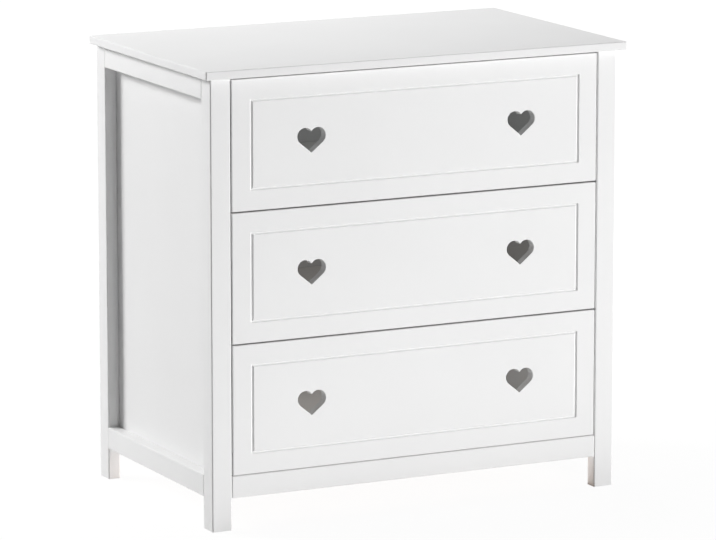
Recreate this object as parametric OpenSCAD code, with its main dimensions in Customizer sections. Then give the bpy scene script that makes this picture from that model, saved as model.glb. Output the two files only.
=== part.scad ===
/* [Carcass] */
// Width across the outer faces of the legs
carcass_w = 845; // [740:5:1100]
// Depth from the front faces of the legs to their rear faces
carcass_d = 515; // [460:5:640]
// Height from the floor to the top surface
height = 860; // [780:5:1000]
// Thickness of the rear legs and of the side rails
frame_t = 24; // [20:1:32]
// Depth of a leg, seen from the side
leg_d = 40; // [32:1:60]
// Thickness of the side panels
panel_t = 16; // [14:1:19]
// How far a side panel reaches into the rebate of the front leg
rebate_d = 15; // [8:1:20]
// Height of the side rails, the plinth rail and the rear lower rail
rail_h = 42; // [38:1:70]
// Clear height under the rails
leg_clear = 60; // [30:1:120]
// Thickness of the plinth rail
plinth_t = 18; // [16:1:22]
// Thickness of the stretchers and of the rear lower rail
stretcher_t = 16; // [15:1:19]
// Width of the stretchers under the top
stretcher_w = 80; // [60:1:120]
// Thickness of the hardboard back
back_t = 3; // [2.5:0.5:5]
// Radius of the eased edges of the carcass
edge_r = 2.5; // [1:0.25:4]

/* [Top] */
// Thickness of the top board
top_t = 16; // [15:1:25]
// How far the top stands proud of the legs at the front and sides
overhang = 15; // [5:1:30]

/* [Drawers] */
// Thickness of a drawer front
front_t = 18; // [16:1:22]
// Gap beside and between the drawer fronts
reveal = 2.5; // [2:0.5:4]
// Gap above the top drawer front
head_reveal = 4; // [2:0.5:5]
// Gap below the bottom drawer front
foot_reveal = 1; // [0.5:0.5:4]
// Radius of the eased edges of a drawer front
front_edge_r = 1.5; // [0.5:0.25:3]
// Thickness of the drawer sides and back
box_t = 12; // [12:1:16]
// How far the drawer sides stop below the top edge of the front
box_drop = 52; // [30:1:80]
// Radius of the edges of the drawer sides and back
box_edge_r = 3; // [2:0.5:5]
// Room between a closed drawer and the rear rails
rear_room = 28; // [10:1:60]
// Thickness of the drawer bottoms
bottom_t = 3; // [2.5:0.5:5]
// Depth of the grooves that hold a drawer bottom
groove_d = 5; // [4:0.5:6]
// Height of a drawer bottom above the lower edge of the drawer sides
bottom_rise = 10; // [9:1:20]

/* [Routed line] */
// Distance of the routed line from the edges of the front
line_inset = 40; // [25:1:60]
// Width of the line on the surface, cut by a 90 degree bit
line_w = 6; // [3:0.5:8]

/* [Heart holes] */
// Radius of the two lobes of a heart
lobe_r = 15.5; // [14:0.5:18]
// Distance between the centres of the lobes
lobe_gap = 26.2; // [22:0.2:27]
// How far the tip lies below the centres of the lobes
tip_drop = 30.7; // [26:0.1:36]
// Distance between the two hearts of a front
heart_pitch = 437; // [300:1:500]

/* [Runners] */
// Room between a side panel and a drawer side
runner_gap = 12.5; // [12.5:0.1:14]
// Height of a runner above the lower edge of its drawer front
runner_rise = 20.8; // [10:0.1:40]
// Thickness of the sheet that the profiles are rolled from
sheet_t = 1.2; // [1:0.1:1.5]
// Diameter of a roller
roller_d = 21.4; // [18:0.1:24]
// Width of a roller
roller_w = 6.8; // [6:0.1:7]
// Diameter of the riveted axle of a roller
axle_d = 5; // [4:0.1:6]
// Distance of an axle from the end of its profile
axle_inset = 14; // [12.5:0.5:20]
// Width of the lip along the upper edge of a cabinet profile
lip_w = 7; // [4:0.5:9]
// How far the slide turns in under the drawer side
ledge_w = 10; // [6:0.5:11.5]
// How far a cabinet profile starts behind the drawer front
runner_set = 2; // [1:0.5:10]

/* [Fasteners] */
// Diameter of a wooden dowel
dowel_d = 8; // [6:1:8]
// Length of a wooden dowel
dowel_l = 30; // [25:1:40]
// How far dowels and cam bolts enter the face of a board
fix_in = 11; // [8:0.5:12]
// Distance between a dowel and the cam bolt or dowel beside it
pair_gap = 16; // [14:1:18]
// Diameter of a carcass cam
cam_d = 15; // [12:1:15]
// Length of a carcass cam
cam_l = 12.5; // [11:0.5:13]
// Distance of a carcass cam from the end of its board
cam_set = 34; // [24:1:40]
// Diameter of a drawer cam
box_cam_d = 12; // [10:1:12]
// Length of a drawer cam
box_cam_l = 9.5; // [8:0.5:10]
// Distance of a drawer cam from the end of its board
box_cam_set = 24; // [20:1:34]
// Distance of the drawer fixings from the upper and lower edges of the drawer side
fix_inset = 45; // [35:1:60]
// Diameter of a small screw
screw_d = 3.5; // [3:0.1:4]
// Length of a runner screw in the side panel
runner_screw_l = 12; // [9:0.5:13]
// Length of a slide screw in the drawer side
slide_screw_l = 10; // [8:0.5:11]
// Distance of the outer runner screws from the ends of the profile
screw_inset = 37; // [32:1:60]
// Length of the screws that hold a drawer back
back_screw_l = 40; // [30:1:50]
// Distance of the nails from the upper and lower ends of the back
nail_inset = 60; // [40:1:80]
// Length of the nails that hold the hardboard back
nail_l = 18; // [14:1:20]

/* [Hidden] */
$fn = 48;
// Clearances: a fastener in its hole, a loose panel in its groove, an axle in its roller, and moving metal
fit = 0.05;
groove_fit = 0.2;
axle_fit = 0.1;
running_gap = 0.3;
// Room beside the moving profiles, under the lip of the cabinet profile and beside the rollers
sheet_gap = 1;
lip_gap = 1.8;
roller_gap = 0.8;
// Overlap of a cutting shape past the face that it cuts
cut = 1;

// Planes of the carcass
leg_w = frame_t + panel_t;
outer_x = carcass_w / 2;
panel_x = outer_x - frame_t;
inner_x = outer_x - leg_w;
rear_y = (carcass_d + overhang) / 2;
face_y = rear_y - carcass_d;
panel_y0 = face_y + leg_d - rebate_d;
panel_y1 = rear_y - back_t;
rail_y0 = face_y + leg_d;
rail_y1 = rear_y - leg_d;
stretch_y0 = face_y + front_t + runner_set;
rear_rail_y = panel_y1 - stretcher_t;
top_z = height - top_t;
rail_z = leg_clear + rail_h;

// Drawer fronts and boxes, counted from the bottom
LEVELS = ["bottom", "middle", "top"];
levels = len(LEVELS);
front_w = 2 * (inner_x - reveal);
front_h = (top_z - rail_z - head_reveal - foot_reveal - (levels - 1) * reveal) / levels;
function front_z(level) = rail_z + foot_reveal + level * (front_h + reveal);
function runner_z(level) = front_z(level) + runner_rise;
function box_z(level) = runner_z(level) + sheet_t;
box_x = inner_x - runner_gap;
box_h = front_h - runner_rise - sheet_t - box_drop;
box_y0 = face_y + front_t;
box_y1 = rear_rail_y - rear_room;
box_d = box_y1 - box_y0;

// Roller runner, measured up from its lower edge and in from the side panel
runner_y0 = box_y0 + runner_set;
web_u = runner_gap - sheet_t;
track_u = web_u - sheet_gap;
axle_v = sheet_t + running_gap + roller_d / 2;
flange_v = axle_v + roller_d / 2 + running_gap;
runner_h = flange_v + sheet_t + lip_gap + sheet_t;
slide_screw_v = sheet_t + bottom_rise / 2;
roller_edge = 0.8;
rivet_h = 0.8;
rivet_r = axle_d / 2 + 1.2;
rivet_top = roller_w;

// Heart: the straight flanks leave the tip at this angle and meet the lobes after this length
lobe_x = lobe_gap / 2;
flank = sqrt(lobe_x * lobe_x + tip_drop * tip_drop - lobe_r * lobe_r);
flank_angle = atan2(tip_drop, lobe_x) - atan2(lobe_r, flank);
heart_lift = (tip_drop - lobe_r) / 2;

// Fasteners
bolt_r = 2.5;
bolt_neck_r = 2;
bolt_head_r = 2.8;
bolt_head_l = 3;
cam_slot = 1.2;
screw_head_r = 3.4;
screw_head_h = 1.6;
back_screw_r = 2;
back_screw_head_r = 4;
nail_r = 0.8;
nail_head_r = 2;
nail_head_h = 0.6;
nails_side = 6;
nails_across = 3;

// Joints of the right-hand side: the point where two boards meet, the turn that lays the axis of the
// fastener along Z from the first board into the second, the spin of the cam and the second board's thickness
across = [0, -90, 0];
down = [180, 0, 0];
back = [-90, 0, 0];
forward = [90, 0, 0];
low_z = leg_clear + rail_h / 2;
stretch_y = stretch_y0 + stretcher_w / 2;
stretch_z = top_z - stretcher_w / 2;
top_fix_y = [rail_y0 + 2 * leg_d, rail_y1 - 2 * leg_d];
cam_joints = [
    [[inner_x, face_y + plinth_t / 2, low_z - pair_gap / 2], across, 90, plinth_t],
    [[inner_x, rear_rail_y + stretcher_t / 2, low_z - pair_gap / 2], across, -90, stretcher_t],
    [[inner_x, rear_rail_y + stretcher_t / 2, stretch_z - pair_gap / 2], across, -90, stretcher_t],
    [[inner_x, stretch_y - pair_gap / 2, top_z - stretcher_t / 2], across, 180, stretcher_t],
    for (y = top_fix_y) [[(inner_x + panel_x) / 2, y, top_z], down, 180, panel_t]
];
rail_mid_x = (panel_x + outer_x) / 2;
dowel_joints = [
    [[inner_x, face_y + plinth_t / 2, low_z + pair_gap / 2], across],
    [[inner_x, rear_rail_y + stretcher_t / 2, low_z + pair_gap / 2], across],
    [[inner_x, rear_rail_y + stretcher_t / 2, stretch_z + pair_gap / 2], across],
    [[inner_x, stretch_y + pair_gap / 2, top_z - stretcher_t / 2], across],
    for (y = top_fix_y) [[(inner_x + panel_x) / 2, y + 2 * pair_gap, top_z], down],
    for (z = [low_z, top_z - rail_h / 2], side = [-1, 1]) each [
        [[rail_mid_x, rail_y0, z + side * pair_gap / 2], back],
        [[rail_mid_x, rail_y1, z + side * pair_gap / 2], forward]
    ]
];
nail_places = [
    for (i = [0 : nails_side - 1], side = [-1, 1])
        [side * (inner_x + panel_x) / 2,
         leg_clear + nail_inset + i * (top_z - leg_clear - 2 * nail_inset) / (nails_side - 1)],
    for (i = [0 : nails_across - 1], z = [low_z, stretch_z])
        [inner_x * (2 * i - nails_across + 1) / (nails_across + 1), z]
];
screw_places = [screw_inset, box_d / 2, box_d - screw_inset];
box_fix_v = [fix_inset, box_h - fix_inset];

LACQUER = "whitesmoke";
FOIL = "snow";
HARDBOARD = "peru";
BEECH = "burlywood";
ZINC = "silver";
NYLON = "ivory";

// Outlines and boards

module rounded_rect(w, h, r) {
    translate([r, 0])
        square([w - 2 * r, h]);
    translate([0, r])
        square([w, h - 2 * r]);
    for (x = [r, w - r], y = [r, h - r])
        translate([x, y])
            circle(r);
}

// Carry an outline along X, with its own axes on Y and Z
module along_x(length) {
    rotate([90, 0, 90])
        linear_extrude(length)
            children();
}

// Carry an outline along Y, with its own axes on X and Z
module along_y(length) {
    translate([0, length, 0])
        rotate([90, 0, 0])
            linear_extrude(length)
                children();
}

// A board whose twelve edges are all eased
module eased_board(w, d, h, r) {
    intersection() {
        linear_extrude(h)
            rounded_rect(w, d, r);
        along_y(d)
            rounded_rect(w, h, r);
        along_x(w)
            rounded_rect(d, h, r);
    }
}

module both_sides() {
    children();
    mirror([1, 0, 0])
        children();
}

module left_or_right(side) {
    mirror([side < 0 ? 1 : 0, 0, 0])
        children();
}

// Fasteners, each along its own Z axis from the first board into the second

module dowel(grow = 0) {
    translate([0, 0, -fix_in - grow])
        cylinder(d = dowel_d + 2 * grow, h = dowel_l + 2 * grow);
}

module cam_bolt(set) {
    translate([0, 0, -fix_in])
        cylinder(r = bolt_r, h = fix_in);
    cylinder(r = bolt_neck_r, h = set);
    translate([0, 0, set - bolt_head_l])
        cylinder(r = bolt_head_r, h = bolt_head_l);
}

// Eccentric nut with a cross slot on its face and a mouth for the head of the bolt
module cam_nut(set, d, l, board_t) {
    translate([0, 0, set])
        difference() {
            translate([board_t / 2 - l, 0, 0])
                rotate([0, 90, 0])
                    cylinder(d = d, h = l);
            translate([0, 0, -d])
                cylinder(r = bolt_head_r + running_gap, h = d + running_gap);
            for (turn = [0, 90])
                rotate([turn, 0, 0])
                    translate([board_t / 2 - cam_slot, -d / 4, -cam_slot / 2])
                        cube([cam_slot + cut, d / 2, cam_slot]);
        }
}

// Holes in both boards for a cam bolt and its nut
module cam_hole(set, d, l, board_t) {
    translate([0, 0, -fix_in - fit])
        cylinder(r = bolt_r + fit, h = fix_in + 2 * fit);
    cylinder(r = bolt_head_r + fit, h = set);
    translate([board_t / 2 - l - fit, 0, set])
        rotate([0, 90, 0])
            cylinder(d = d + 2 * fit, h = l + cut);
}

module pan_screw(length, grow = 0) {
    translate([0, 0, -length - grow])
        cylinder(d = screw_d + 2 * grow, h = length + sheet_t + 2 * grow);
    translate([0, 0, sheet_t])
        cylinder(r = screw_head_r, h = screw_head_h);
}

module back_screw(grow = 0) {
    translate([0, 0, -back_screw_l - grow])
        cylinder(r = back_screw_r + grow, h = back_screw_l + grow);
    translate([0, 0, -back_screw_head_r + back_screw_r])
        cylinder(r1 = back_screw_r + grow, r2 = back_screw_head_r + grow, h = back_screw_head_r - back_screw_r);
}

module nail(grow = 0) {
    translate([0, 0, -nail_l - grow])
        cylinder(r = nail_r + grow, h = nail_l + grow);
    translate([0, 0, -nail_head_h - grow])
        cylinder(r = nail_head_r + grow, h = nail_head_h + grow);
}

module at_cam_joints() {
    both_sides()
        for (joint = cam_joints)
            translate(joint[0])
                rotate(joint[1])
                    rotate([0, 0, joint[2]])
                        let ($board_t = joint[3])
                            children();
}

module at_dowel_joints() {
    both_sides()
        for (joint = dowel_joints)
            translate(joint[0])
                rotate(joint[1])
                    children();
}

module at_nails() {
    for (place = nail_places)
        translate([place.x, rear_y, place.y])
            rotate(back)
                children();
}

// On the right-hand side panel, with Z towards the drawer
module at_runner_screws(level) {
    for (y = screw_places)
        translate([inner_x, runner_y0 + y, runner_z(level) + axle_v])
            rotate(across)
                children();
}

// On the right-hand drawer side, with Z towards the side panel
module at_slide_screws(level) {
    for (y = screw_places)
        translate([box_x, box_y0 + y, runner_z(level) + slide_screw_v])
            rotate(-across)
                children();
}

// On the right-hand drawer side, where it meets the front
module at_box_cams(level) {
    for (v = box_fix_v)
        translate([box_x - box_t / 2, box_y0, box_z(level) + v])
            rotate(back)
                rotate([0, 0, 180])
                    children();
}

// On the right-hand drawer side, where the back stands behind it
module at_back_screws(level) {
    for (v = box_fix_v)
        translate([box_x, box_y1 - box_t / 2, box_z(level) + v])
            rotate(-across)
                children();
}

module carcass_holes() {
    at_cam_joints()
        cam_hole(cam_set, cam_d, cam_l, $board_t);
    at_dowel_joints()
        dowel(fit);
}

// Carcass

module top_board() {
    color(LACQUER)
        difference() {
            translate([-outer_x - overhang, face_y - overhang, top_z])
                eased_board(carcass_w + 2 * overhang, carcass_d + overhang, top_t, edge_r);
            carcass_holes();
        }
}

module front_leg(side) {
    color(LACQUER)
        left_or_right(side)
            difference() {
                translate([inner_x, face_y, 0])
                    linear_extrude(top_z)
                        difference() {
                            rounded_rect(leg_w, leg_d, edge_r);
                            translate([-cut, leg_d - rebate_d])
                                square([panel_t + cut, rebate_d + cut]);
                        }
                carcass_holes();
            }
}

module rear_leg(side) {
    color(LACQUER)
        left_or_right(side)
            difference() {
                translate([panel_x, rail_y1, 0])
                    linear_extrude(top_z)
                        rounded_rect(frame_t, leg_d, edge_r);
                carcass_holes();
            }
}

module side_panel(side) {
    color(LACQUER)
        left_or_right(side)
            difference() {
                translate([inner_x, panel_y0, leg_clear])
                    cube([panel_t, panel_y1 - panel_y0, top_z - leg_clear]);
                carcass_holes();
                for (level = [0 : levels - 1])
                    at_runner_screws(level)
                        pan_screw(runner_screw_l, fit);
                at_nails()
                    nail(fit);
            }
}

module side_rail(side, z) {
    color(LACQUER)
        left_or_right(side)
            difference() {
                translate([panel_x, rail_y0, z])
                    along_y(rail_y1 - rail_y0)
                        rounded_rect(frame_t, rail_h, edge_r);
                carcass_holes();
            }
}

module cross_board(y, z, d, h) {
    difference() {
        translate([-inner_x, y, z])
            along_x(2 * inner_x)
                rounded_rect(d, h, edge_r);
        carcass_holes();
        at_nails()
            nail(fit);
    }
}

// The ends are eased like the long edges, so a fine V shows where they meet the legs
module plinth_rail() {
    color(LACQUER)
        difference() {
            translate([-inner_x, face_y, leg_clear])
                eased_board(2 * inner_x, plinth_t, rail_h, edge_r);
            carcass_holes();
        }
}

module front_stretcher() {
    color(FOIL)
        cross_board(stretch_y0, top_z - stretcher_t, stretcher_w, stretcher_t);
}

module rear_stretcher() {
    color(FOIL)
        cross_board(rear_rail_y, top_z - stretcher_w, stretcher_t, stretcher_w);
}

module rear_lower_rail() {
    color(FOIL)
        cross_board(rear_rail_y, leg_clear, stretcher_t, rail_h);
}

module back_panel() {
    color(HARDBOARD)
        difference() {
            translate([-panel_x, panel_y1, leg_clear])
                cube([2 * panel_x, back_t, top_z - leg_clear]);
            at_nails()
                nail(fit);
        }
}

module frame_dowels() {
    color(BEECH)
        at_dowel_joints()
            dowel();
}

module cam_bolts() {
    color(ZINC)
        at_cam_joints()
            cam_bolt(cam_set);
}

module cam_nuts() {
    color(ZINC)
        at_cam_joints()
            cam_nut(cam_set, cam_d, cam_l, $board_t);
}

module back_panel_nails() {
    color(ZINC)
        at_nails()
            nail();
}

// Roller runners

// Sheet bent at a right angle, from a wall along Y to a floor along X, outer corner at the origin
module bent_corner() {
    intersection() {
        square(2 * sheet_t);
        translate([2 * sheet_t, 2 * sheet_t])
            difference() {
                circle(2 * sheet_t);
                circle(sheet_t);
            }
    }
}

module runner_section() {
    translate([0, 2 * sheet_t])
        square([sheet_t, runner_h - 4 * sheet_t]);
    translate([2 * sheet_t, 0])
        square([track_u - 2 * sheet_t, sheet_t]);
    translate([2 * sheet_t, runner_h - sheet_t])
        square([lip_w - 2 * sheet_t, sheet_t]);
    bent_corner();
    translate([0, runner_h])
        mirror([0, 1])
            bent_corner();
}

module slide_section() {
    translate([web_u, 2 * sheet_t])
        square([sheet_t, flange_v - 3 * sheet_t]);
    translate([web_u + 2 * sheet_t, 0])
        square([ledge_w - sheet_t, sheet_t]);
    translate([sheet_t + sheet_gap, flange_v])
        square([web_u - 2 * sheet_t - sheet_gap, sheet_t]);
    translate([web_u, 0])
        bent_corner();
    translate([runner_gap, flange_v + sheet_t])
        rotate(180)
            bent_corner();
}

// Axle riveted through a web whose free face lies at the origin, with its head sunk in the roller
module axle() {
    translate([0, 0, -sheet_t])
        cylinder(d = axle_d, h = sheet_t + rivet_top);
    translate([0, 0, rivet_top - rivet_h])
        cylinder(r = rivet_r, h = rivet_h);
}

// Roller on that axle, hollowed on its outer face for the head
module roller() {
    r = roller_d / 2;
    seat = rivet_top - rivet_h - axle_fit;
    difference() {
        translate([0, 0, roller_gap])
            rotate_extrude()
                polygon([
                    [0, 0], [r - roller_edge, 0], [r, roller_edge],
                    [r, roller_w - roller_edge], [r - roller_edge, roller_w], [0, roller_w]
                ]);
        cylinder(d = axle_d + 2 * axle_fit, h = roller_w);
        translate([0, 0, seat])
            cylinder(r = rivet_r + 2 * axle_fit, h = roller_w);
    }
}

module at_front_axle(level) {
    translate([inner_x - sheet_t, runner_y0 + axle_inset, runner_z(level) + axle_v])
        rotate(across)
            children();
}

module at_rear_axle(level) {
    translate([inner_x - web_u, box_y1 - axle_inset, runner_z(level) + axle_v])
        rotate(-across)
            children();
}

module runner(level, side) {
    color(ZINC)
        left_or_right(side) {
            difference() {
                translate([inner_x, runner_y0, runner_z(level)])
                    mirror([1, 0, 0])
                        along_y(box_d)
                            runner_section();
                at_runner_screws(level)
                    pan_screw(runner_screw_l, fit);
            }
            at_front_axle(level)
                axle();
        }
}

module drawer_slide(level, side) {
    color(ZINC)
        left_or_right(side) {
            difference() {
                translate([inner_x, box_y0, runner_z(level)])
                    mirror([1, 0, 0])
                        along_y(box_d)
                            slide_section();
                at_slide_screws(level)
                    pan_screw(slide_screw_l, fit);
            }
            at_rear_axle(level)
                axle();
        }
}

module front_rollers(level) {
    color(NYLON)
        both_sides()
            at_front_axle(level)
                roller();
}

module rear_rollers(level) {
    color(NYLON)
        both_sides()
            at_rear_axle(level)
                roller();
}

module runner_screws() {
    color(ZINC)
        both_sides()
            for (level = [0 : levels - 1])
                at_runner_screws(level)
                    pan_screw(runner_screw_l);
}

// Drawers

module heart() {
    tangent = flank * [cos(flank_angle), sin(flank_angle)] - [0, tip_drop];
    for (side = [-1, 1])
        translate([side * lobe_x, 0])
            circle(lobe_r);
    polygon([
        [0, -tip_drop], tangent, [lobe_x, 0],
        [-lobe_x, 0], [-tangent.x, tangent.y]
    ]);
}

// V-shaped line round the face of a front: four straight cuts joined by the turn of the bit at the corners
module routed_line() {
    w = front_w - 2 * line_inset;
    h = front_h - 2 * line_inset;
    reach = line_w / 2 + cut;
    for (z = [0, h])
        translate([-w / 2, 0, z])
            along_x(w)
                polygon([[-cut, -reach], [line_w / 2, 0], [-cut, reach]]);
    for (x = [-w / 2, w / 2]) {
        translate([x, 0, 0])
            linear_extrude(h)
                polygon([[-reach, -cut], [reach, -cut], [0, line_w / 2]]);
        for (z = [0, h])
            translate([x, -cut, z])
                rotate(back)
                    cylinder(r1 = reach, r2 = 0, h = reach);
    }
}

// Grooves that hold the bottom of a drawer
module bottom_groove(level) {
    x = box_x - box_t + groove_d;
    translate([-x, box_y0 - groove_d, box_z(level) + bottom_rise])
        cube([2 * x, box_d - box_t + 2 * groove_d, bottom_t + groove_fit]);
}

module drawer_front(level) {
    color(LACQUER)
        difference() {
            translate([-front_w / 2, face_y, front_z(level)])
                eased_board(front_w, front_t, front_h, front_edge_r);
            translate([0, face_y, front_z(level) + line_inset])
                routed_line();
            for (side = [-1, 1])
                translate([side * heart_pitch / 2, face_y - cut, front_z(level) + front_h / 2 + heart_lift])
                    along_y(front_t + 2 * cut)
                        heart();
            bottom_groove(level);
            both_sides()
                at_box_cams(level)
                    cam_hole(box_cam_set, box_cam_d, box_cam_l, box_t);
        }
}

module drawer_side(level, side) {
    color(FOIL)
        left_or_right(side)
            difference() {
                translate([box_x - box_t, box_y0, box_z(level)])
                    along_y(box_d)
                        rounded_rect(box_t, box_h, box_edge_r);
                bottom_groove(level);
                at_box_cams(level)
                    cam_hole(box_cam_set, box_cam_d, box_cam_l, box_t);
                at_back_screws(level)
                    back_screw(fit);
                at_slide_screws(level)
                    pan_screw(slide_screw_l, fit);
            }
}

module drawer_back(level) {
    x = box_x - box_t;
    color(FOIL)
        difference() {
            translate([-x, box_y1 - box_t, box_z(level)])
                along_x(2 * x)
                    rounded_rect(box_t, box_h, box_edge_r);
            bottom_groove(level);
            both_sides()
                at_back_screws(level)
                    back_screw(fit);
        }
}

module drawer_bottom(level) {
    x = box_x - box_t + groove_d - groove_fit;
    color(HARDBOARD)
        translate([-x, box_y0 - groove_d + groove_fit, box_z(level) + bottom_rise])
            cube([2 * x, box_d - box_t + 2 * (groove_d - groove_fit), bottom_t]);
}

module drawer_screws(level) {
    color(ZINC)
        both_sides() {
            at_back_screws(level)
                back_screw();
            at_slide_screws(level)
                pan_screw(slide_screw_l);
        }
}

module drawer_cams(level) {
    color(ZINC)
        both_sides()
            at_box_cams(level) {
                cam_bolt(box_cam_set);
                cam_nut(box_cam_set, box_cam_d, box_cam_l, box_t);
            }
}

top_board();
front_leg(-1);  // front_left_leg
front_leg(1);  // front_right_leg
rear_leg(-1);  // rear_left_leg
rear_leg(1);  // rear_right_leg
side_panel(-1);  // left_side_panel
side_panel(1);  // right_side_panel
side_rail(-1, top_z - rail_h);  // left_upper_rail
side_rail(1, top_z - rail_h);  // right_upper_rail
side_rail(-1, leg_clear);  // left_lower_rail
side_rail(1, leg_clear);  // right_lower_rail
plinth_rail();
front_stretcher();
rear_stretcher();
rear_lower_rail();
back_panel();
frame_dowels();
cam_bolts();
cam_nuts();
back_panel_nails();
runner_screws();
for (level = [0 : levels - 1]) {
    name = LEVELS[level];
    runner(level, -1);
    runner(level, 1);
    front_rollers(level);
    drawer_front(level);
    drawer_side(level, -1);
    drawer_side(level, 1);
    drawer_back(level);
    drawer_bottom(level);
    drawer_slide(level, -1);
    drawer_slide(level, 1);
    drawer_screws(level);
    drawer_cams(level);
    rear_rollers(level);
}
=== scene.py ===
import math

import bmesh
import bpy
import numpy as np
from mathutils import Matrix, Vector


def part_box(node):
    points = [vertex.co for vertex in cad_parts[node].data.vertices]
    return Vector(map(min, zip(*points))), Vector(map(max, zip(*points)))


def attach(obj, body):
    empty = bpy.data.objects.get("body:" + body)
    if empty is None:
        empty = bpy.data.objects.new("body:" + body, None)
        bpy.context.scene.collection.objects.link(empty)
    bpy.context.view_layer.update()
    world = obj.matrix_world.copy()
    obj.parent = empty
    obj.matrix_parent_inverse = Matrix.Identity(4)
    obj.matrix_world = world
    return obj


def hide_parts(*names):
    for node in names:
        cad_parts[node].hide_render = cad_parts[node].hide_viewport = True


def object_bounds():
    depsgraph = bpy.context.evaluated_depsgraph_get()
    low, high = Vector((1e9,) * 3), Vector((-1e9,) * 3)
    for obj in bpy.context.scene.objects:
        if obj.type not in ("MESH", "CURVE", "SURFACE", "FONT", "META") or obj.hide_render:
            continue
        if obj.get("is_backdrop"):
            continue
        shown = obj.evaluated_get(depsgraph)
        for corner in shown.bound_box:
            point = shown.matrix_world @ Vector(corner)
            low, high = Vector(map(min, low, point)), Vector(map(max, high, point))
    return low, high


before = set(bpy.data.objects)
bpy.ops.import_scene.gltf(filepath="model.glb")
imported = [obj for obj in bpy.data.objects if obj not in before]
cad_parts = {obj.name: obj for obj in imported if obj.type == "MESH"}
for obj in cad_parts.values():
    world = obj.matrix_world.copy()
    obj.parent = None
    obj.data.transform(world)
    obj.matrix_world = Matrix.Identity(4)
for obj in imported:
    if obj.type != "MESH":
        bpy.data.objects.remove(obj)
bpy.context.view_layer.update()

# Front legs. Solid posts of MDF under white lacquer, 40 mm square, with a rebate on the inner rear
# corner for the side panel. They are moulded to shape, eased along every arris, primed, sprayed and
# rubbed down, and dowels and glue hold the rails to them.
MM = 0.001


def linear(hex_colour):
    """A colour as linear red, green, blue and alpha, from its sRGB hex value."""
    srgb = np.array([int(hex_colour[i : i + 2], 16) for i in (1, 3, 5)]) / 255
    light = np.where(srgb <= 0.04045, srgb / 12.92, ((srgb + 0.055) / 1.055) ** 2.4)
    return (*light.tolist(), 1.0)


def add_node(tree, kind, inputs=None, **properties):
    """Adds a node. Each of its inputs takes a plain value, or the output socket that is linked to it."""
    made = tree.nodes.new("ShaderNode" + kind)
    for name, value in properties.items():
        setattr(made, name, value)
    for name, value in (inputs or {}).items():
        if isinstance(value, bpy.types.NodeSocket):
            tree.links.new(value, made.inputs[name])
        else:
            made.inputs[name].default_value = value
    return made


def new_finish(name):
    """A material with nothing in it but the Object coordinates that its patterns read."""
    finish = bpy.data.materials.new(name)
    finish.use_nodes = True
    tree = finish.node_tree
    tree.nodes.clear()
    return finish, tree, add_node(tree, "TexCoord").outputs["Object"]


def surface(tree, inputs):
    """Ends a material in one Principled surface with these inputs."""
    shader = add_node(tree, "BsdfPrincipled", inputs)
    add_node(tree, "OutputMaterial", {"Surface": shader.outputs["BSDF"]})


# White satin lacquer, sprayed on primed MDF and rubbed down. It is an even white with a soft sheen,
# a faint orange peel of about 2.5 mm from the gun, and arrises that handling has polished a little.
PEEL_MM = 2.5
CLOUD_MM = 180
lacquer, tree, place = new_finish("white_satin_lacquer")
peel = add_node(tree, "TexNoise", {"Vector": place, "Scale": 1 / (PEEL_MM * MM), "Detail": 2.0})
cloud = add_node(tree, "TexNoise", {"Vector": place, "Scale": 1 / (CLOUD_MM * MM), "Detail": 3.0})
tint = add_node(tree, "ValToRGB", {"Fac": cloud.outputs["Fac"]})
tint.color_ramp.elements[0].color = linear("#EFEFEF")
tint.color_ramp.elements[1].color = linear("#F3F3F3")
arris = add_node(tree, "Attribute", attribute_name="arris")
sheen = add_node(tree, "MapRange", {"Value": arris.outputs["Fac"], "To Min": 0.46, "To Max": 0.42})
grain = add_node(tree, "Bump", {"Height": peel.outputs["Fac"], "Strength": 0.12, "Distance": 0.03 * MM})
surface(
    tree,
    {
        "Base Color": tint.outputs["Color"],
        "Roughness": sheen.outputs["Result"],
        "Normal": grain.outputs["Normal"],
        "IOR": 1.5,
    },
)


def eased_outline(corners, radii, steps):
    """A closed right-angled outline whose corners are arcs, and the outward normals of its points.

    Round a corner the normal turns from that of the edge before it to that of the edge after it, and the
    point is the corner less the radius times both normals, plus the radius times the turning normal. A
    corner of no radius stays one point with the sum of both normals, so that it moves along its mitre.
    """
    corners, radii = np.asarray(corners, float), np.asarray(radii, float)[:, None, None]
    edge = np.roll(corners, -1, 0) - corners
    after = np.stack([edge[:, 1], -edge[:, 0]], 1) / np.linalg.norm(edge, axis=1, keepdims=True)
    before, after = np.roll(after, 1, 0)[:, None], after[:, None]
    turn = np.linspace(0, np.pi / 2, steps + 1)[None, :, None]
    normal = before * np.cos(turn) + after * np.sin(turn)
    point = corners[:, None] + radii * (normal - before - after)
    normal = np.where(radii > 0, normal, before + after)
    return point.reshape(-1, 2), normal.reshape(-1, 2)


def eased_ends(start, end, ease, steps):
    """Stations along a board as place and inset: a quarter circle in at the start, and out at the end."""
    turn = np.linspace(0, np.pi / 2, steps + 1) if ease > 0 else np.zeros(1)
    inset = ease * (1 - np.sin(turn)) if ease > 0 else np.zeros(1)
    along = ease * (1 - np.cos(turn))
    return np.concatenate(
        [np.stack([start + along, inset], 1), np.stack([end - along, inset], 1)[::-1]]
    )


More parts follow.
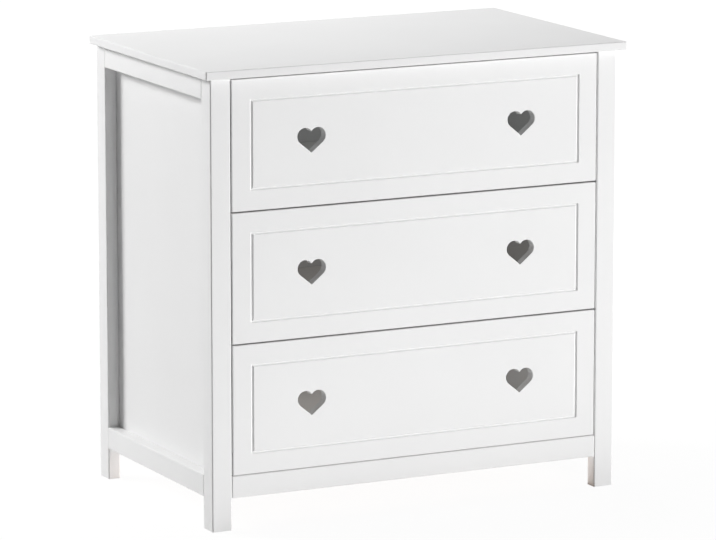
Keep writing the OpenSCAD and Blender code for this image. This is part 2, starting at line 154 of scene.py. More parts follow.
def carried(outline, normals, stations, axis):
    """An outline carried along an axis: at each station every point is drawn in by the inset along its
    normal. Neighbouring rings are joined by quads, and the first and last ring are closed."""
    rings, count = len(stations), len(outline)
    flat = outline[None] - stations[:, 1, None, None] * normals[None]
    along = np.broadcast_to(stations[:, 0, None, None], (rings, count, 1))
    points = np.roll(np.concatenate([flat, along], 2), axis + 1, -1).reshape(-1, 3)
    index = np.arange(rings * count).reshape(rings, count)
    ahead = np.roll(index, -1, 1)
    quads = np.stack([index[:-1], ahead[:-1], ahead[1:], index[1:]], -1).reshape(-1, 4)
    faces = quads.tolist() + [index[0, ::-1].tolist(), index[-1].tolist()]
    curved = np.abs(2 * normals.prod(1))[None] + np.zeros((rings, 1))
    largest = max(stations[:, 1].max(), 1e-9)
    drawn = stations[:, 1, None] / largest
    return points, faces, np.clip(curved + 4 * drawn * (1 - drawn), 0, 1).ravel()


WELD = 1e-6
SLIVER = 1e-7


def piece(name, points, faces, finish, body, nodes, arris_weight=None, sharp_deg=40):
    """Puts a worked-out surface into a mesh with smooth faces and sharp creases, and into the frame."""
    mesh = bpy.data.meshes.new(name)
    mesh.from_pydata(np.asarray(points).tolist(), [], faces)
    if arris_weight is not None:
        mesh.attributes.new("arris", "FLOAT", "POINT").data.foreach_set("value", arris_weight)
    work = bmesh.new()
    work.from_mesh(mesh)
    bmesh.ops.remove_doubles(work, verts=work.verts, dist=WELD)
    bmesh.ops.dissolve_degenerate(work, edges=work.edges, dist=SLIVER)
    bmesh.ops.recalc_face_normals(work, faces=work.faces)
    work.to_mesh(mesh)
    work.free()
    mesh.polygons.foreach_set("use_smooth", np.ones(len(mesh.polygons), bool))
    mesh.set_sharp_from_angle(angle=math.radians(sharp_deg))
    mesh.materials.append(finish)
    made = bpy.data.objects.new(name, mesh)
    bpy.context.scene.collection.objects.link(made)
    even = made.modifiers.new("even_shading", "WEIGHTED_NORMAL")
    even.keep_sharp = True
    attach(made, body)
    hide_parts(*nodes)


EDGE_R = 2.5 * MM
NOTCH_R = 0.3 * MM
EDGE_STEPS = 5


def eased_board(name, node, axis, ease, notch=None):
    """A lacquered board in its node's box: the rectangle across the axis with eased corners, carried along
    it, with its ends eased as given. A notch is the corner, counted round the rectangle, that a rebate of
    two given widths takes away."""
    lo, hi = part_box(node)
    a, b = (axis + 1) % 3, (axis + 2) % 3
    corners = np.array([[lo[a], lo[b]], [hi[a], lo[b]], [hi[a], hi[b]], [lo[a], hi[b]]])
    radii = np.full(4, EDGE_R)
    if notch:
        at, width = notch
        step = np.sign(corners.mean(0) - corners[at]) * width
        inner = corners[at] + step
        first = [corners[at][0] + step[0], corners[at][1]]
        second = [corners[at][0], corners[at][1] + step[1]]
        if at % 2 == 0:
            first, second = second, first
        corners = np.insert(np.delete(corners, at, 0), at, [first, inner, second], 0)
        radii = np.insert(np.delete(radii, at), at, [NOTCH_R, 0, NOTCH_R])
    outline, normals = eased_outline(corners, radii, EDGE_STEPS)
    stations = eased_ends(lo[axis], hi[axis], ease, EDGE_STEPS)
    points, faces, weight = carried(outline, normals, stations, axis)
    piece(name, points, faces, lacquer, "carcass", [node], weight)


FOOT_EASE = 1 * MM
leg_lo, leg_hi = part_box("front_right_leg")
panel_lo, panel_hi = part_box("right_side_panel")
rebate = np.array([panel_hi.x - leg_lo.x, leg_hi.y - panel_lo.y])
for side, corner in (("left", 2), ("right", 3)):
    eased_board(f"front_{side}_post", f"front_{side}_leg", 2, FOOT_EASE, notch=(corner, rebate))

# Rear legs. Flat posts of the same lacquered MDF, 24 by 40 mm, glued to the outside of the side panels
# and eased like the front legs.
for side in ("left", "right"):
    eased_board(f"rear_{side}_post", f"rear_{side}_leg", 2, FOOT_EASE)

# Side panels. Plain lacquered boards of 16 mm, set back behind the legs and rails, with square edges
# that the rebates, the rails and the back cover.


def dress(node, finish):
    """Gives a solid of the frame its finish."""
    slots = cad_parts[node].data.materials
    slots.clear()
    slots.append(finish)


for side in ("left", "right"):
    dress(f"{side}_side_panel", lacquer)

# Side rails. Lacquered strips of 24 by 42 mm between the legs, flush with their outer faces. Their ends
# are cut square and dowelled to the legs, and their long arrises are eased.
for side in ("left", "right"):
    for level in ("upper", "lower"):
        eased_board(f"{side}_{level}_side_rail", f"{side}_{level}_rail", 1, 0)

# Plinth rail. A lacquered strip of 18 by 42 mm under the bottom drawer, flush with the front legs and
# drawn against them by a dowel and a cam bolt at each end.
dress("plinth_rail", lacquer)

# Stretchers and rear lower rail. Chipboard strips of 16 mm wrapped in matt white foil, which hold the
# sides apart at the top and at the back. They are seen only with the drawers out.

# Matt white foil, pressed on chipboard. It is flat and slightly cool, with fine pressed pores that run
# along the board, about 0.6 mm wide and 9 mm long.
PORE_MM = (9, 0.6, 0.6)
foil, tree, place = new_finish("matt_white_foil")
stretched = add_node(tree, "Mapping", {"Vector": place, "Scale": [1 / (size * MM) for size in PORE_MM]})
pores = add_node(tree, "TexNoise", {"Vector": stretched.outputs["Vector"], "Scale": 1.0, "Detail": 3.0})
shade = add_node(tree, "ValToRGB", {"Fac": pores.outputs["Fac"]})
shade.color_ramp.elements[0].color = linear("#E9EAEA")
shade.color_ramp.elements[1].color = linear("#F1F2F2")
pressed = add_node(tree, "Bump", {"Height": pores.outputs["Fac"], "Strength": 0.2, "Distance": 0.05 * MM})
surface(
    tree,
    {
        "Base Color": shade.outputs["Color"],
        "Roughness": 0.55,
        "Normal": pressed.outputs["Normal"],
        "IOR": 1.5,
    },
)
for node in ("front_stretcher", "rear_stretcher", "rear_lower_rail"):
    dress(node, foil)

# Back panel. A sheet of 3 mm hardboard nailed over the rear edges of the side panels and rails. Its
# inner face is printed white, and its outer face is bare.

# Bare hardboard. Pressed brown wood fibre: a smooth hot-pressed skin, mottled over about 14 mm, with
# darker fibre bundles of about 1.4 mm. The printed side carries a thin white coat.
MOTTLE_MM = 14
FIBRE_MM = 1.4


def printed_hardboard(name, printed):
    """Hardboard with a white coat on the faces whose normal points along the printed direction."""
    board, tree, place = new_finish(name)
    mottle = add_node(tree, "TexNoise", {"Vector": place, "Scale": 1 / (MOTTLE_MM * MM), "Detail": 4.0})
    fibre = add_node(tree, "TexNoise", {"Vector": place, "Scale": 1 / (FIBRE_MM * MM), "Detail": 2.0})
    brown = add_node(tree, "ValToRGB", {"Fac": mottle.outputs["Fac"]})
    brown.color_ramp.elements[0].position = 0.3
    brown.color_ramp.elements[0].color = linear("#8A6445")
    brown.color_ramp.elements[1].position = 0.7
    brown.color_ramp.elements[1].color = linear("#A37C58")
    specks = add_node(tree, "MapRange", {"Value": fibre.outputs["Fac"], "To Min": 0.86, "To Max": 1.08})
    bare = add_node(
        tree,
        "VectorMath",
        {0: brown.outputs["Color"], 1: specks.outputs["Result"]},
        operation="MULTIPLY",
    )
    facing = add_node(
        tree,
        "VectorMath",
        {0: add_node(tree, "NewGeometry").outputs["Normal"], 1: printed},
        operation="DOT_PRODUCT",
    )
    coated = add_node(
        tree, "MapRange", {"Value": facing.outputs["Value"], "From Min": 0.4, "From Max": 0.6}
    )
    colour = add_node(
        tree,
        "Mix",
        {"Factor": coated.outputs["Result"], "A": bare.outputs["Vector"], "B": linear("#EDEDEB")},
        data_type="RGBA",
    )
    rough = add_node(
        tree, "Bump", {"Height": fibre.outputs["Fac"], "Strength": 0.25, "Distance": 0.05 * MM}
    )
    surface(
        tree,
        {
            "Base Color": colour.outputs["Result"],
            "Roughness": 0.5,
            "Normal": rough.outputs["Normal"],
        },
    )
    return board


dress("back_panel", printed_hardboard("hardboard_printed_inside", (0, -1, 0)))

# Top board. A lacquered board of 16 mm that stands 15 mm proud of the legs at the front and sides, eased
# on all its edges and drawn down on the side panels by cam bolts.
eased_board("top_slab", "top_board", 0, EDGE_R)

# Dowels, cam bolts and cam nuts. Beech dowels set the places of the boards, and zinc-plated bolts and
# die-cast eccentric nuts draw them together. They lie inside the boards.

# Turned beech: pale pinkish brown, with fine grain along the dowel and short dark flecks.
GRAIN_MM = 0.8
FLECK_MM = 3
beech, tree, place = new_finish("turned_beech")
lines = add_node(tree, "TexNoise", {"Vector": place, "Scale": 1 / (GRAIN_MM * MM), "Detail": 2.0})
flecks = add_node(tree, "TexVoronoi", {"Vector": place, "Scale": 1 / (FLECK_MM * MM)})
mixed = add_node(
    tree, "Math", {0: lines.outputs["Fac"], 1: flecks.outputs["Distance"]}, operation="MULTIPLY"
)
wood = add_node(tree, "ValToRGB", {"Fac": mixed.outputs["Value"]})
wood.color_ramp.elements[0].color = linear("#B58A60")
wood.color_ramp.elements[1].color = linear("#D9B58C")
surface(tree, {"Base Color": wood.outputs["Color"], "Roughness": 0.6})

# Bright zinc plating on steel: a cool grey metal whose fine dull spangle is about 1 mm across.
SPANGLE_MM = 1
zinc, tree, place = new_finish("bright_zinc_plating")
spangle = add_node(tree, "TexVoronoi", {"Vector": place, "Scale": 1 / (SPANGLE_MM * MM)})
dull = add_node(tree, "MapRange", {"Value": spangle.outputs["Distance"], "To Min": 0.28, "To Max": 0.42})
surface(tree, {"Base Color": linear("#C6C8C9"), "Metallic": 1.0, "Roughness": dull.outputs["Result"]})
dress("frame_dowels", beech)
for node in ("cam_bolts", "cam_nuts", "back_panel_nails"):
    dress(node, zinc)

# Cabinet runners. Cold-rolled steel profiles with a track along the lower edge and a lip along the upper
# one, coated in white epoxy, screwed to the side panels, with a roller riveted at the front.

# White epoxy powder on steel: a hard warm white skin with a marked orange peel of about 1.5 mm.
POWDER_MM = 1.5
epoxy, tree, place = new_finish("white_epoxy_powder")
dimples = add_node(tree, "TexNoise", {"Vector": place, "Scale": 1 / (POWDER_MM * MM), "Detail": 1.0})
skin = add_node(tree, "Bump", {"Height": dimples.outputs["Fac"], "Strength": 0.3, "Distance": 0.08 * MM})
gloss = add_node(tree, "MapRange", {"Value": dimples.outputs["Fac"], "To Min": 0.28, "To Max": 0.4})
surface(
    tree,
    {
        "Base Color": linear("#E9E7E0"),
        "Roughness": gloss.outputs["Result"],
        "Normal": skin.outputs["Normal"],
        "IOR": 1.55,
    },
)
LEVELS = ("bottom", "middle", "top")
SCREW_PLACES = np.array([37, 225, 413]) * MM
SCREW_R = 1.75 * MM
PAN_R = 3.4 * MM
PAN_H = 1.6 * MM
PAN_RIM = 0.3
PAN_POINT = 2 * MM
PAN_CROSS = (2.2 * MM, 0.9 * MM)
RUNNER_SCREW_L = 12 * MM
SHEET_T = 1.2 * MM
CROSS_HALF = 0.6 * MM
CROSS_FLANK = 0.25 * MM
CROSS_END = 0.3 * MM
SCREW_STEPS = 40
HEAD_STEPS = 12


def turned(profile, steps, closed):
    """A profile of axial places and radii turned about its axis. Every point is its radius times the cosine
    and sine of the turn. A closed profile joins its last ring to its first."""
    profile = np.asarray(profile, float)
    turn = np.linspace(0, 2 * np.pi, steps, endpoint=False)
    along = np.repeat(profile[:, :1], steps, 1)
    points = np.stack([along, profile[:, 1:] * np.cos(turn), profile[:, 1:] * np.sin(turn)], -1)
    index = np.arange(points.shape[0] * steps).reshape(-1, steps)
    if closed:
        index = np.concatenate([index, index[:1]])
    ahead = np.roll(index, -1, 1)
    quads = np.stack([index[:-1], ahead[:-1], ahead[1:], index[1:]], -1).reshape(-1, 4)
    return points, quads


def cross_recess(points, top, reach, depth):
    """Sinks the head of a screw by a cross. The depth falls to none over a short flank at the half width of
    its arms, and again at the end of their reach. Only points above the given top are sunk."""
    radius = np.hypot(points[..., 1], points[..., 2])
    beside = np.minimum(np.abs(points[..., 1]), np.abs(points[..., 2]))
    inside = np.clip((CROSS_HALF - beside) / CROSS_FLANK, 0, 1)
    inside = inside * np.clip((reach - radius) / CROSS_END, 0, 1)
    points[..., 0] -= np.where(points[..., 0] > top, depth * inside, 0)
    return points


def copies(shape, origins, ways):
    """Copies of a shape whose axis is X, each set on its origin, and turned over where its way is -1."""
    points, quads = shape
    flat = points.reshape(-1, 3)
    ways, origins = np.asarray(ways, float), np.asarray(origins, float)
    turned_over = np.stack([ways, np.ones(len(ways)), np.ones(len(ways))], 1)
    placed = flat[None] * turned_over[:, None] + origins[:, None]
    faces = quads[None] + len(flat) * np.arange(len(ways))[:, None, None]
    return placed.reshape(-1, 3), faces.reshape(-1, 4)


def pan_screw(length):
    """A pan-head screw: a pointed shank, a flat seat on the sheet, a short straight rim, and a quarter
    ellipse turned to a dome, with a cross recess."""
    dome = np.linspace(0, np.pi / 2, HEAD_STEPS)
    rise = PAN_RIM + (1 - PAN_RIM) * np.sin(dome)
    head = np.stack([SHEET_T + PAN_H * rise, PAN_R * np.cos(dome)], 1)
    shank = [[-length, 0], [-length + PAN_POINT, SCREW_R], [SHEET_T, SCREW_R], [SHEET_T, PAN_R]]
    points, quads = turned(np.concatenate([shank, head]), SCREW_STEPS, False)
    return cross_recess(points, SHEET_T + PAN_RIM * PAN_H, *PAN_CROSS), quads


origins, ways = [], []
for level in LEVELS:
    for side, way in (("left", 1), ("right", -1)):
        node = f"{level}_{side}_runner"
        dress(node, epoxy)
        lo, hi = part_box(node)
        wall = lo.x if side == "left" else hi.x
        height = sum(corner.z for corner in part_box(f"{level}_front_rollers")) / 2
        origins += [(wall, lo.y + y, height) for y in SCREW_PLACES]
        ways += [way] * len(SCREW_PLACES)
points, faces = copies(pan_screw(RUNNER_SCREW_L), origins, ways)
piece("runner_pan_screws", points, faces.tolist(), zinc, "carcass", ["runner_screws"])

# Rollers. Moulded nylon, 21 mm across, with a dished web and a seat for the head of the rivet. They turn
# on axles riveted to the runners and slides.

# Natural nylon: a milky white with a slight sheen and faint flow marks from the mould.
FLOW_MM = 6
nylon, tree, place = new_finish("natural_nylon")
flow = add_node(tree, "TexNoise", {"Vector": place, "Scale": 1 / (FLOW_MM * MM), "Detail": 2.0})
milky = add_node(tree, "ValToRGB", {"Fac": flow.outputs["Fac"]})
milky.color_ramp.elements[0].color = linear("#E4E1D6")
milky.color_ramp.elements[1].color = linear("#EFECE3")
surface(tree, {"Base Color": milky.outputs["Color"], "Roughness": 0.4, "IOR": 1.53})
ROLLER_W = 6.8 * MM
BORE_R = 2.6 * MM
SEAT_R = 3.9 * MM
SEAT_DEEP = 1.7 * MM
SHOULDER_R = 0.8 * MM
DISH_DEEP = 0.7 * MM
DISH = (5.0 * MM, 8.6 * MM)
ROLLER_STEPS = 64
PROFILE_STEPS = 7


def roller(radius):
    """A roller turned from one closed profile, from its flat side at 0 to its rivet side: a tread whose
    shoulders are quarter circles, a web dished by half a sine wave, a seat for the rivet and a bore."""
    quarter = np.linspace(0, np.pi / 2, PROFILE_STEPS)
    near = np.stack([SHOULDER_R * (1 - np.sin(quarter)), radius - SHOULDER_R * (1 - np.cos(quarter))], 1)
    far = np.stack([ROLLER_W - near[:, 0], near[:, 1]], 1)
    slope = np.linspace(0, 1, PROFILE_STEPS)[:, None]
    hollow = DISH_DEEP * np.sin(np.pi * slope)
    dish = np.concatenate([ROLLER_W - hollow, DISH[1] + (DISH[0] - DISH[1]) * slope], 1)
    seat = ROLLER_W - SEAT_DEEP
    bore = [[ROLLER_W, SEAT_R], [seat, SEAT_R], [seat, BORE_R], [0, BORE_R]]
    return turned(np.concatenate([near[::-1], far, dish, bore]), ROLLER_STEPS, True)


for level in LEVELS:
    for end, flat_side in (("front", "outer"), ("rear", "inner")):
        node = f"{level}_{end}_rollers"
        lo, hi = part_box(node)
        middle = [(lo.y + hi.y) / 2, (lo.z + hi.z) / 2]
        wheel = roller((hi.z - lo.z) / 2)
        way = -1 if flat_side == "outer" else 1
        start = hi.x if flat_side == "outer" else hi.x - ROLLER_W
        points, faces = copies(wheel, [(start, *middle), (-start, *middle)], [way, -way])
        piece(f"{level}_{end}_nylon_rollers", points, faces.tolist(), nylon, node, [node])

# Drawer fronts. Lacquered MDF of 18 mm with eased edges. A V-shaped line is routed round the face near
# its edge, and two heart-shaped finger holes are cut through, with their rims rounded for the fingers.
FRONT_R = 1.5 * MM
RIM_R = 1.2 * MM
LINE_INSET = 40 * MM
LINE_W = 6 * MM
LINE_FILL = 0.3 * MM
LOBE_R = 15.5 * MM
LOBE_X = 13.1 * MM
TIP_DROP = 30.7 * MM
HEART_X = 218.5 * MM
HEART_STAR = -6 * MM
FLANK_STEPS = 10
LOBE_STEPS = 26
CORNER_TURNS = 4
ROUND_STEPS = 5
LINE_CUTS = np.array([0, 0.1, 0.25, 0.55, 0.9, 1, 1.08])


def heart(grow):
    """A heart drawn from its tip round to its tip, with the lobes' centres on its own X axis.

    The right half is a straight flank from the tip, then an arc about the lobe's centre that starts where
    the flank touches it and ends on the middle line. Growing adds to the radius and moves the flank
    outwards along its normal. The left half mirrors the right one.
    """
    reach = math.hypot(LOBE_X, TIP_DROP)
    flank = math.sqrt(reach**2 - LOBE_R**2)
    slope = math.atan2(TIP_DROP, LOBE_X) - math.atan2(LOBE_R, flank)
    radius, tip = LOBE_R + grow, np.array([0, -TIP_DROP - grow / math.cos(slope)])
    first, last = slope - math.pi / 2, math.pi - math.acos(LOBE_X / radius)
    turn = np.linspace(first, last, LOBE_STEPS + 1)
    arc = np.array([LOBE_X, 0]) + radius * np.stack([np.cos(turn), np.sin(turn)], 1)
    part = np.linspace(0, 1, FLANK_STEPS, endpoint=False)[:, None]
    half = np.concatenate([tip + part * (arc[0] - tip), arc])
    return np.concatenate([half, half[-2:0:-1] * [-1, 1]])


def front_grid(half_w, half_h, lift):
    """The right half of a front as rays from inside its heart: the share of the ray's way round the heart,
    and the point where the ray meets the half rectangle, as a share of its half width and half height with
    the outward normal there. The rays run from the middle line's lower end round to its upper end, then
    down the middle line, and rays are added at the four corners, with a quarter turn at the outer ones."""
    ring = heart(RIM_R) - [0, HEART_STAR]
    angle = np.unwrap(np.arctan2(ring[:, 1], ring[:, 0]))
    centre = np.array([HEART_X, lift + HEART_STAR])
    corners = np.array([[0, -half_h], [half_w, -half_h], [half_w, half_h], [0, half_h]]) - centre
    corner_angle = np.arctan2(corners[:, 1], corners[:, 0])
    corner_angle = angle[0] + (corner_angle - angle[0]) % (2 * np.pi)
    share = np.arange(len(ring) + 1)
    wrapped = np.append(angle, angle[0] + 2 * np.pi)
    at_corner = np.interp(corner_angle, wrapped, share)
    rays = np.sort(np.concatenate([share[:-1], at_corner, np.repeat(at_corner[1:3], CORNER_TURNS)]))
    ray_angle = np.interp(rays, share, wrapped)
    way = np.stack([np.cos(ray_angle), np.sin(ray_angle)], 1)
    walls = np.array([half_w, -half_h, half_h, 0]) - centre[[0, 1, 1, 0]]
    with np.errstate(divide="ignore"):
        reach = walls / way[:, [0, 1, 1, 0]]
    reach = np.where(reach > 0, reach, np.inf)
    wall = reach.argmin(1)
    hit = (centre + way * reach.min(1)[:, None]) / [half_w, half_h]
    normal = np.array([[1, 0], [0, -1], [0, 1], [-1, 0]], float)[wall]
    for corner, start in ((1, -np.pi / 2), (2, 0)):
        chosen = np.isclose(rays, at_corner[corner])
        turn = np.linspace(start, start + np.pi / 2, chosen.sum())
        hit[chosen] = [1, -1 if corner == 1 else 1]
        normal[chosen] = np.stack([np.cos(turn), np.sin(turn)], 1)
    for corner, level in ((0, -1), (3, 1)):
        chosen = np.isclose(rays, at_corner[corner])
        hit[chosen], normal[chosen] = [0, level], [0, level]
    first = int(np.flatnonzero(np.isclose(rays, at_corner[0]))[0])
    order = np.roll(np.arange(len(rays)), -first)
    return rays[order], hit[order], normal[order]


def drawer_front(level):
    """A front as rings of one ray grid. In order they are the heart's wall with rounded rims, from the back
    to the face, the flat field, the V of the routed line, the flat border, the rounded edge and the rear
    face. The V is half its width deep, less the distance from its middle, with a small round at its bottom.
    The left half mirrors the right one."""
    lo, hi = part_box(f"{level}_drawer_front")
    half_w, half_h, depth = (hi.x - lo.x) / 2, (hi.z - lo.z) / 2, hi.y - lo.y
    lift = (TIP_DROP - LOBE_R) / 2
    field_w, field_h = half_w - LINE_INSET, half_h - LINE_INSET
    rays, hit, normal = front_grid(field_w, field_h, lift)

    def heart_ring(grow, y):
        ring = heart(grow)
        share = np.arange(len(ring) + 1)
        closed = np.concatenate([ring, ring[:1]])
        x, z = (np.interp(rays, share, closed[:, i]) for i in (0, 1))
        return np.stack([x + HEART_X, np.full_like(x, y), z + lift], 1)

    def edge_ring(w, h, corner_r, y):
        flat = hit * [w - corner_r, h - corner_r] + normal * corner_r
        return np.stack([flat[:, 0], np.full(len(flat), y), flat[:, 1]], 1)

    quarter = np.linspace(0, np.pi / 2, ROUND_STEPS)
    rim = np.stack([RIM_R * (1 - np.sin(quarter)), RIM_R * (1 - np.cos(quarter))], 1)
    holes = [heart_ring(g, depth - y) for g, y in rim] + [heart_ring(g, y) for g, y in rim[::-1]]
    across = np.concatenate([-LINE_CUTS[:0:-1], LINE_CUTS]) * LINE_W / 2
    deep = np.maximum(LINE_W / 2 - np.hypot(across, LINE_FILL), 0)
    line = [edge_ring(field_w + s, field_h + s, max(s, 0), d) for s, d in zip(across, deep)]
    edge = np.stack([FRONT_R * (1 - np.sin(quarter)), FRONT_R * (1 - np.cos(quarter))], 1)
    border = [edge_ring(half_w - i, half_h - i, FRONT_R - i, y) for i, y in edge]
    border += [edge_ring(half_w - i, half_h - i, FRONT_R - i, depth - y) for i, y in edge[::-1]]
    rings = np.stack(holes + line + border)
    weight = np.zeros(rings.shape[:2])
    face_rim, face_edge = len(holes) - ROUND_STEPS, len(holes) + len(line)
    for first in (face_rim, face_edge):
        weight[first + 1 : first + ROUND_STEPS - 1] = 1

    count = len(rays)
    index = np.arange(len(rings) * count).reshape(len(rings), count)
    ahead = np.roll(index, -1, 1)
    quads = np.stack([index[:-1], index[1:], ahead[1:], ahead[:-1]], -1)
    # beyond the field the middle line has nothing to join: the rays that end on it stop there
    inner = np.isclose(hit[:, 0], 0) & np.isclose(np.roll(hit[:, 0], -1), 0)
    kept = np.ones(quads.shape[:2], bool)
    kept[len(holes) :, inner] = False
    rear = np.stack([index[-1], index[0], ahead[0], ahead[-1]], -1)
    right = np.concatenate([quads[kept], rear])
    points = rings.reshape(-1, 3)
    left = right[:, ::-1] + len(points)
    points = np.concatenate([points, points * [-1, 1, 1]])
    points += [(lo.x + hi.x) / 2, lo.y, (lo.z + hi.z) / 2]
    piece(
        f"{level}_heart_front",
        points,
        np.concatenate([right, left]).tolist(),
        lacquer,
        f"{level}_drawer",
        [f"{level}_drawer_front"],
        np.tile(weight.ravel(), 2),
        sharp_deg=50,
    )


for level in LEVELS:
    drawer_front(level)

# Drawer boxes. Sides and back of 12 mm chipboard wrapped in the white foil, with rounded upper edges, and
# a hardboard bottom, printed white above, held in grooves.
bottom_board = printed_hardboard("hardboard_printed_above", (0, 0, 1))
for level in LEVELS:
    for part in ("left_side", "right_side", "back"):
        dress(f"{level}_drawer_{part}", foil)
    dress(f"{level}_drawer_bottom", bottom_board)

# Drawer slides and fixings. Each slide is a coated steel profile screwed under a drawer side, with a
# roller at its rear. Cam fittings hold the front on, and countersunk screws hold the back.
BACK_SCREW_R = 2 * MM
BACK_HEAD_R = 4 * MM
BACK_SCREW_L = 40 * MM
BACK_POINT = 3 * MM
BACK_CROSS = (2.4 * MM, 1.0 * MM)
FACE_STEPS = 10
SLIDE_SCREW_L = 10 * MM
FIX_INSET = 45 * MM
SLIDE_SCREW_UP = 5 * MM


def countersunk_screw():
    """A countersunk screw: a pointed shank that widens to a flat head flush with the wood, with a cross."""
    cone = BACK_HEAD_R - BACK_SCREW_R
    face = np.linspace(1, 0, FACE_STEPS)[:, None] * [0, BACK_HEAD_R]
    shank = [[-BACK_SCREW_L, 0], [-BACK_SCREW_L + BACK_POINT, BACK_SCREW_R], [-cone, BACK_SCREW_R]]
    points, quads = turned(np.concatenate([shank, face]), SCREW_STEPS, False)
    return cross_recess(points, -cone / 2, *BACK_CROSS), quads


for level in LEVELS:
    for side in ("left", "right"):
        dress(f"{level}_drawer_{side}_slide", epoxy)
    dress(f"{level}_drawer_cams", zinc)
    lo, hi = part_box(f"{level}_drawer_right_side")
    wood_t = hi.x - lo.x
    slide_at = [(hi.x, lo.y + y, lo.z + SLIDE_SCREW_UP) for y in SCREW_PLACES]
    back_at = [(hi.x, hi.y - wood_t / 2, z) for z in (lo.z + FIX_INSET, hi.z - FIX_INSET)]
    pan_points, pan_faces = copies(pan_screw(SLIDE_SCREW_L), slide_at, [1] * len(slide_at))
    sunk_points, sunk_faces = copies(countersunk_screw(), back_at, [1] * len(back_at))
    points = np.concatenate([pan_points, sunk_points])
    faces = np.concatenate([pan_faces, sunk_faces + len(pan_points)])
    faces = np.concatenate([faces, faces + len(points)])
    points = np.concatenate([points, points * [-1, 1, 1]])
    node = f"{level}_drawer_screws"
    piece(f"{level}_drawer_cross_screws", points, faces.tolist(), zinc, f"{level}_drawer", [node])

# Floor. A paper sweep. To the camera it is nearly all plain white, and keeps a faint shadow under the
# chest, which fades out over the first metres. The light that it throws back is that of a pale grey.
FLOOR_HALF = 30
SHADOW_SHARE = 0.09
SHADOW_NEAR = 0.4
SHADOW_REACH = 2.2


def seen_directly(tree):
    """One for rays from the camera, from reflections and through glass, and nought for all others."""
    ray = add_node(tree, "LightPath").outputs
    direct = ray["Is Camera Ray"]
    for way in ("Is Glossy Ray", "Is Transmission Ray"):
        both = add_node(tree, "Math", {0: direct, 1: ray[way]}, operation="ADD", use_clamp=True)
        direct = both.outputs["Value"]
    return direct


floor_mesh = bpy.data.meshes.new("paper_sweep")
floor_mesh.from_pydata(
    [(x * FLOOR_HALF, y * FLOOR_HALF, 0) for x, y in ((-1, -1), (1, -1), (1, 1), (-1, 1))],
    [],
    [(0, 1, 2, 3)],
)
paper, tree, place = new_finish("white_paper")
paper_light = add_node(tree, "BsdfDiffuse", {"Color": linear("#C8C8C8")})
paper_white = add_node(tree, "Emission", {"Color": (1, 1, 1, 1), "Strength": 1.05})
direct = seen_directly(tree)
near = add_node(tree, "VectorMath", {0: place, 1: (0, 0, 0)}, operation="DISTANCE")
white_share = add_node(
    tree,
    "MapRange",
    {
        "Value": near.outputs["Value"],
        "From Min": SHADOW_NEAR,
        "From Max": SHADOW_REACH,
        "To Min": 1 - SHADOW_SHARE,
        "To Max": 1.0,
    },
)
white_share = add_node(
    tree, "Math", {0: white_share.outputs["Result"], 1: direct}, operation="MULTIPLY"
)
paper_face = add_node(
    tree,
    "MixShader",
    {
        "Fac": white_share.outputs["Value"],
        1: paper_light.outputs["BSDF"],
        2: paper_white.outputs["Emission"],
    },
)
add_node(tree, "OutputMaterial", {"Surface": paper_face.outputs["Shader"]})
floor_mesh.materials.append(paper)
floor = bpy.data.objects.new("paper_sweep", floor_mesh)
bpy.context.scene.collection.objects.link(floor)
floor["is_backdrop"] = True

# Lamps. A soft box behind the left side and a wide low one to the right of the front, both left out of
# reflections, and one overhead. Patches of the floor throw light up at the front and between the legs, and
# a weak lamp in each drawer stands for the light that a bright room sends in.
AIM = Vector((0, 0, 0.43))
TOP_MIDDLE = Vector((0, 0.1, 0.86))
GLOW_UP = 2 * MM
FILL_ABOVE = 178 * MM


def soft_box(name, place, target, size, power, reflected=True):
    """An area lamp of this size at a place, turned to its target, shown in reflections or left out."""
    light = bpy.data.lights.new(name, "AREA")
    light.shape = "RECTANGLE"
    light.size, light.size_y = size
    light.energy = power
    lamp = bpy.data.objects.new(name, light)
    lamp.location = place
    lamp.rotation_euler = (target - place).to_track_quat("-Z", "Y").to_euler()
    lamp.visible_camera = False
    lamp.visible_glossy = reflected
    bpy.context.scene.collection.objects.link(lamp)


def floor_glow(name, place, size, power):
    """Light that a patch of the bright floor throws up. Reflections show the floor itself instead."""
    x, y = place
    soft_box(name, Vector((x, y, GLOW_UP)), Vector((x, y, 1)), size, power, reflected=False)


def bearing(azimuth, elevation):
    """The direction from the chest at these angles: azimuth 0 is in front, 90 to the right."""
    a, e = math.radians(azimuth), math.radians(elevation)
    return Vector((math.sin(a) * math.cos(e), -math.cos(a) * math.cos(e), math.sin(e)))


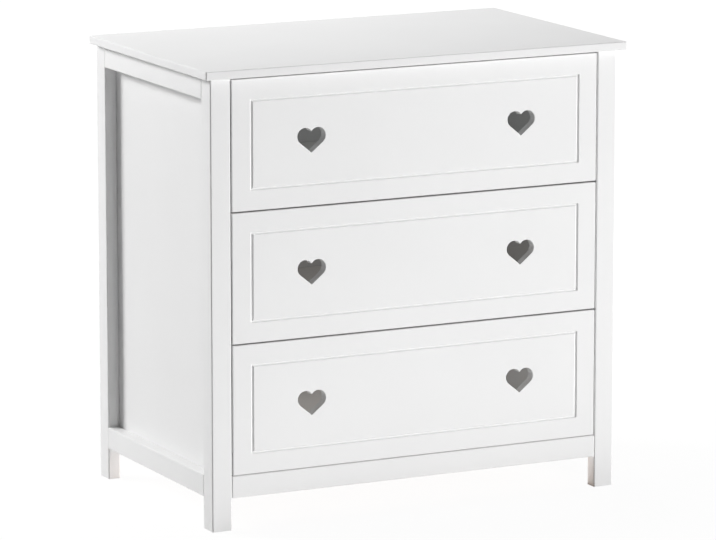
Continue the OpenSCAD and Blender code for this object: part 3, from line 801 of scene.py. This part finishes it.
soft_box("rear_left_box", AIM + bearing(-135, 27) * 7, AIM, (2.4, 2.1), 493, reflected=False)
soft_box("low_right_box", AIM + bearing(50, 1.8) * 17, AIM, (5.0, 2.2), 3290, reflected=False)
soft_box("overhead_box", Vector((0.1, 0.8, 2.7)), TOP_MIDDLE, (1.2, 1.0), 17.5)
floor_glow("front_glow", (0.2, -0.95), (1.3, 1.2), 2.2)
floor_glow("right_glow", (2.6, -2.6), (3.4, 3.4), 37)
floor_glow("under_glow", (0, 0), (0.76, 0.45), 1.9)
for level, power in zip(LEVELS, (0.25, 0.144, 0.112)):
    lo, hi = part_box(f"{level}_drawer_bottom")
    above = Vector((0, (lo.y + hi.y) / 2, hi.z + FILL_ABOVE))
    soft_box(f"{level}_drawer_fill", above, above - Vector((0, 0, 1)), (0.6, 0.36), power)

# World. The room round the paper sweep: plain white to the camera and to reflections, and a dim even grey
# for the light that it sends on the chest.
WORLD_GREY = 0.01
world = bpy.data.worlds.new("studio")
bpy.context.scene.world = world
world.use_nodes = True
tree = world.node_tree
tree.nodes.clear()
direct = seen_directly(tree)
dim = add_node(tree, "Background", {"Color": (1, 1, 1, 1), "Strength": WORLD_GREY})
white = add_node(tree, "Background", {"Color": (1, 1, 1, 1), "Strength": 1.0})
both = add_node(
    tree, "MixShader", {"Fac": direct, 1: dim.outputs["Background"], 2: white.outputs["Background"]}
)
add_node(tree, "OutputWorld", {"Surface": both.outputs["Shader"]})
bpy.context.scene.view_settings.view_transform = "Standard"

# Camera. A long lens about 9 m away at the front left, a little above the top, as in the photograph. It
# has no shift, so that other views keep the chest in the middle.
CAMERA_AIM = Vector((0.0004, -0.0036, 0.4141))
CAMERA_AT = Vector((-4.0244, -8.0335, 2.1432))
camera_data = bpy.data.cameras.new("camera")
camera_data.sensor_width = 36
camera_data.lens = 240.8
camera_data.clip_end = 100
camera = bpy.data.objects.new("camera", camera_data)
camera.location = CAMERA_AT
camera.rotation_euler = (CAMERA_AIM - CAMERA_AT).to_track_quat("-Z", "Y").to_euler()
bpy.context.scene.collection.objects.link(camera)
bpy.context.scene.camera = camera

lo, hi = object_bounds()
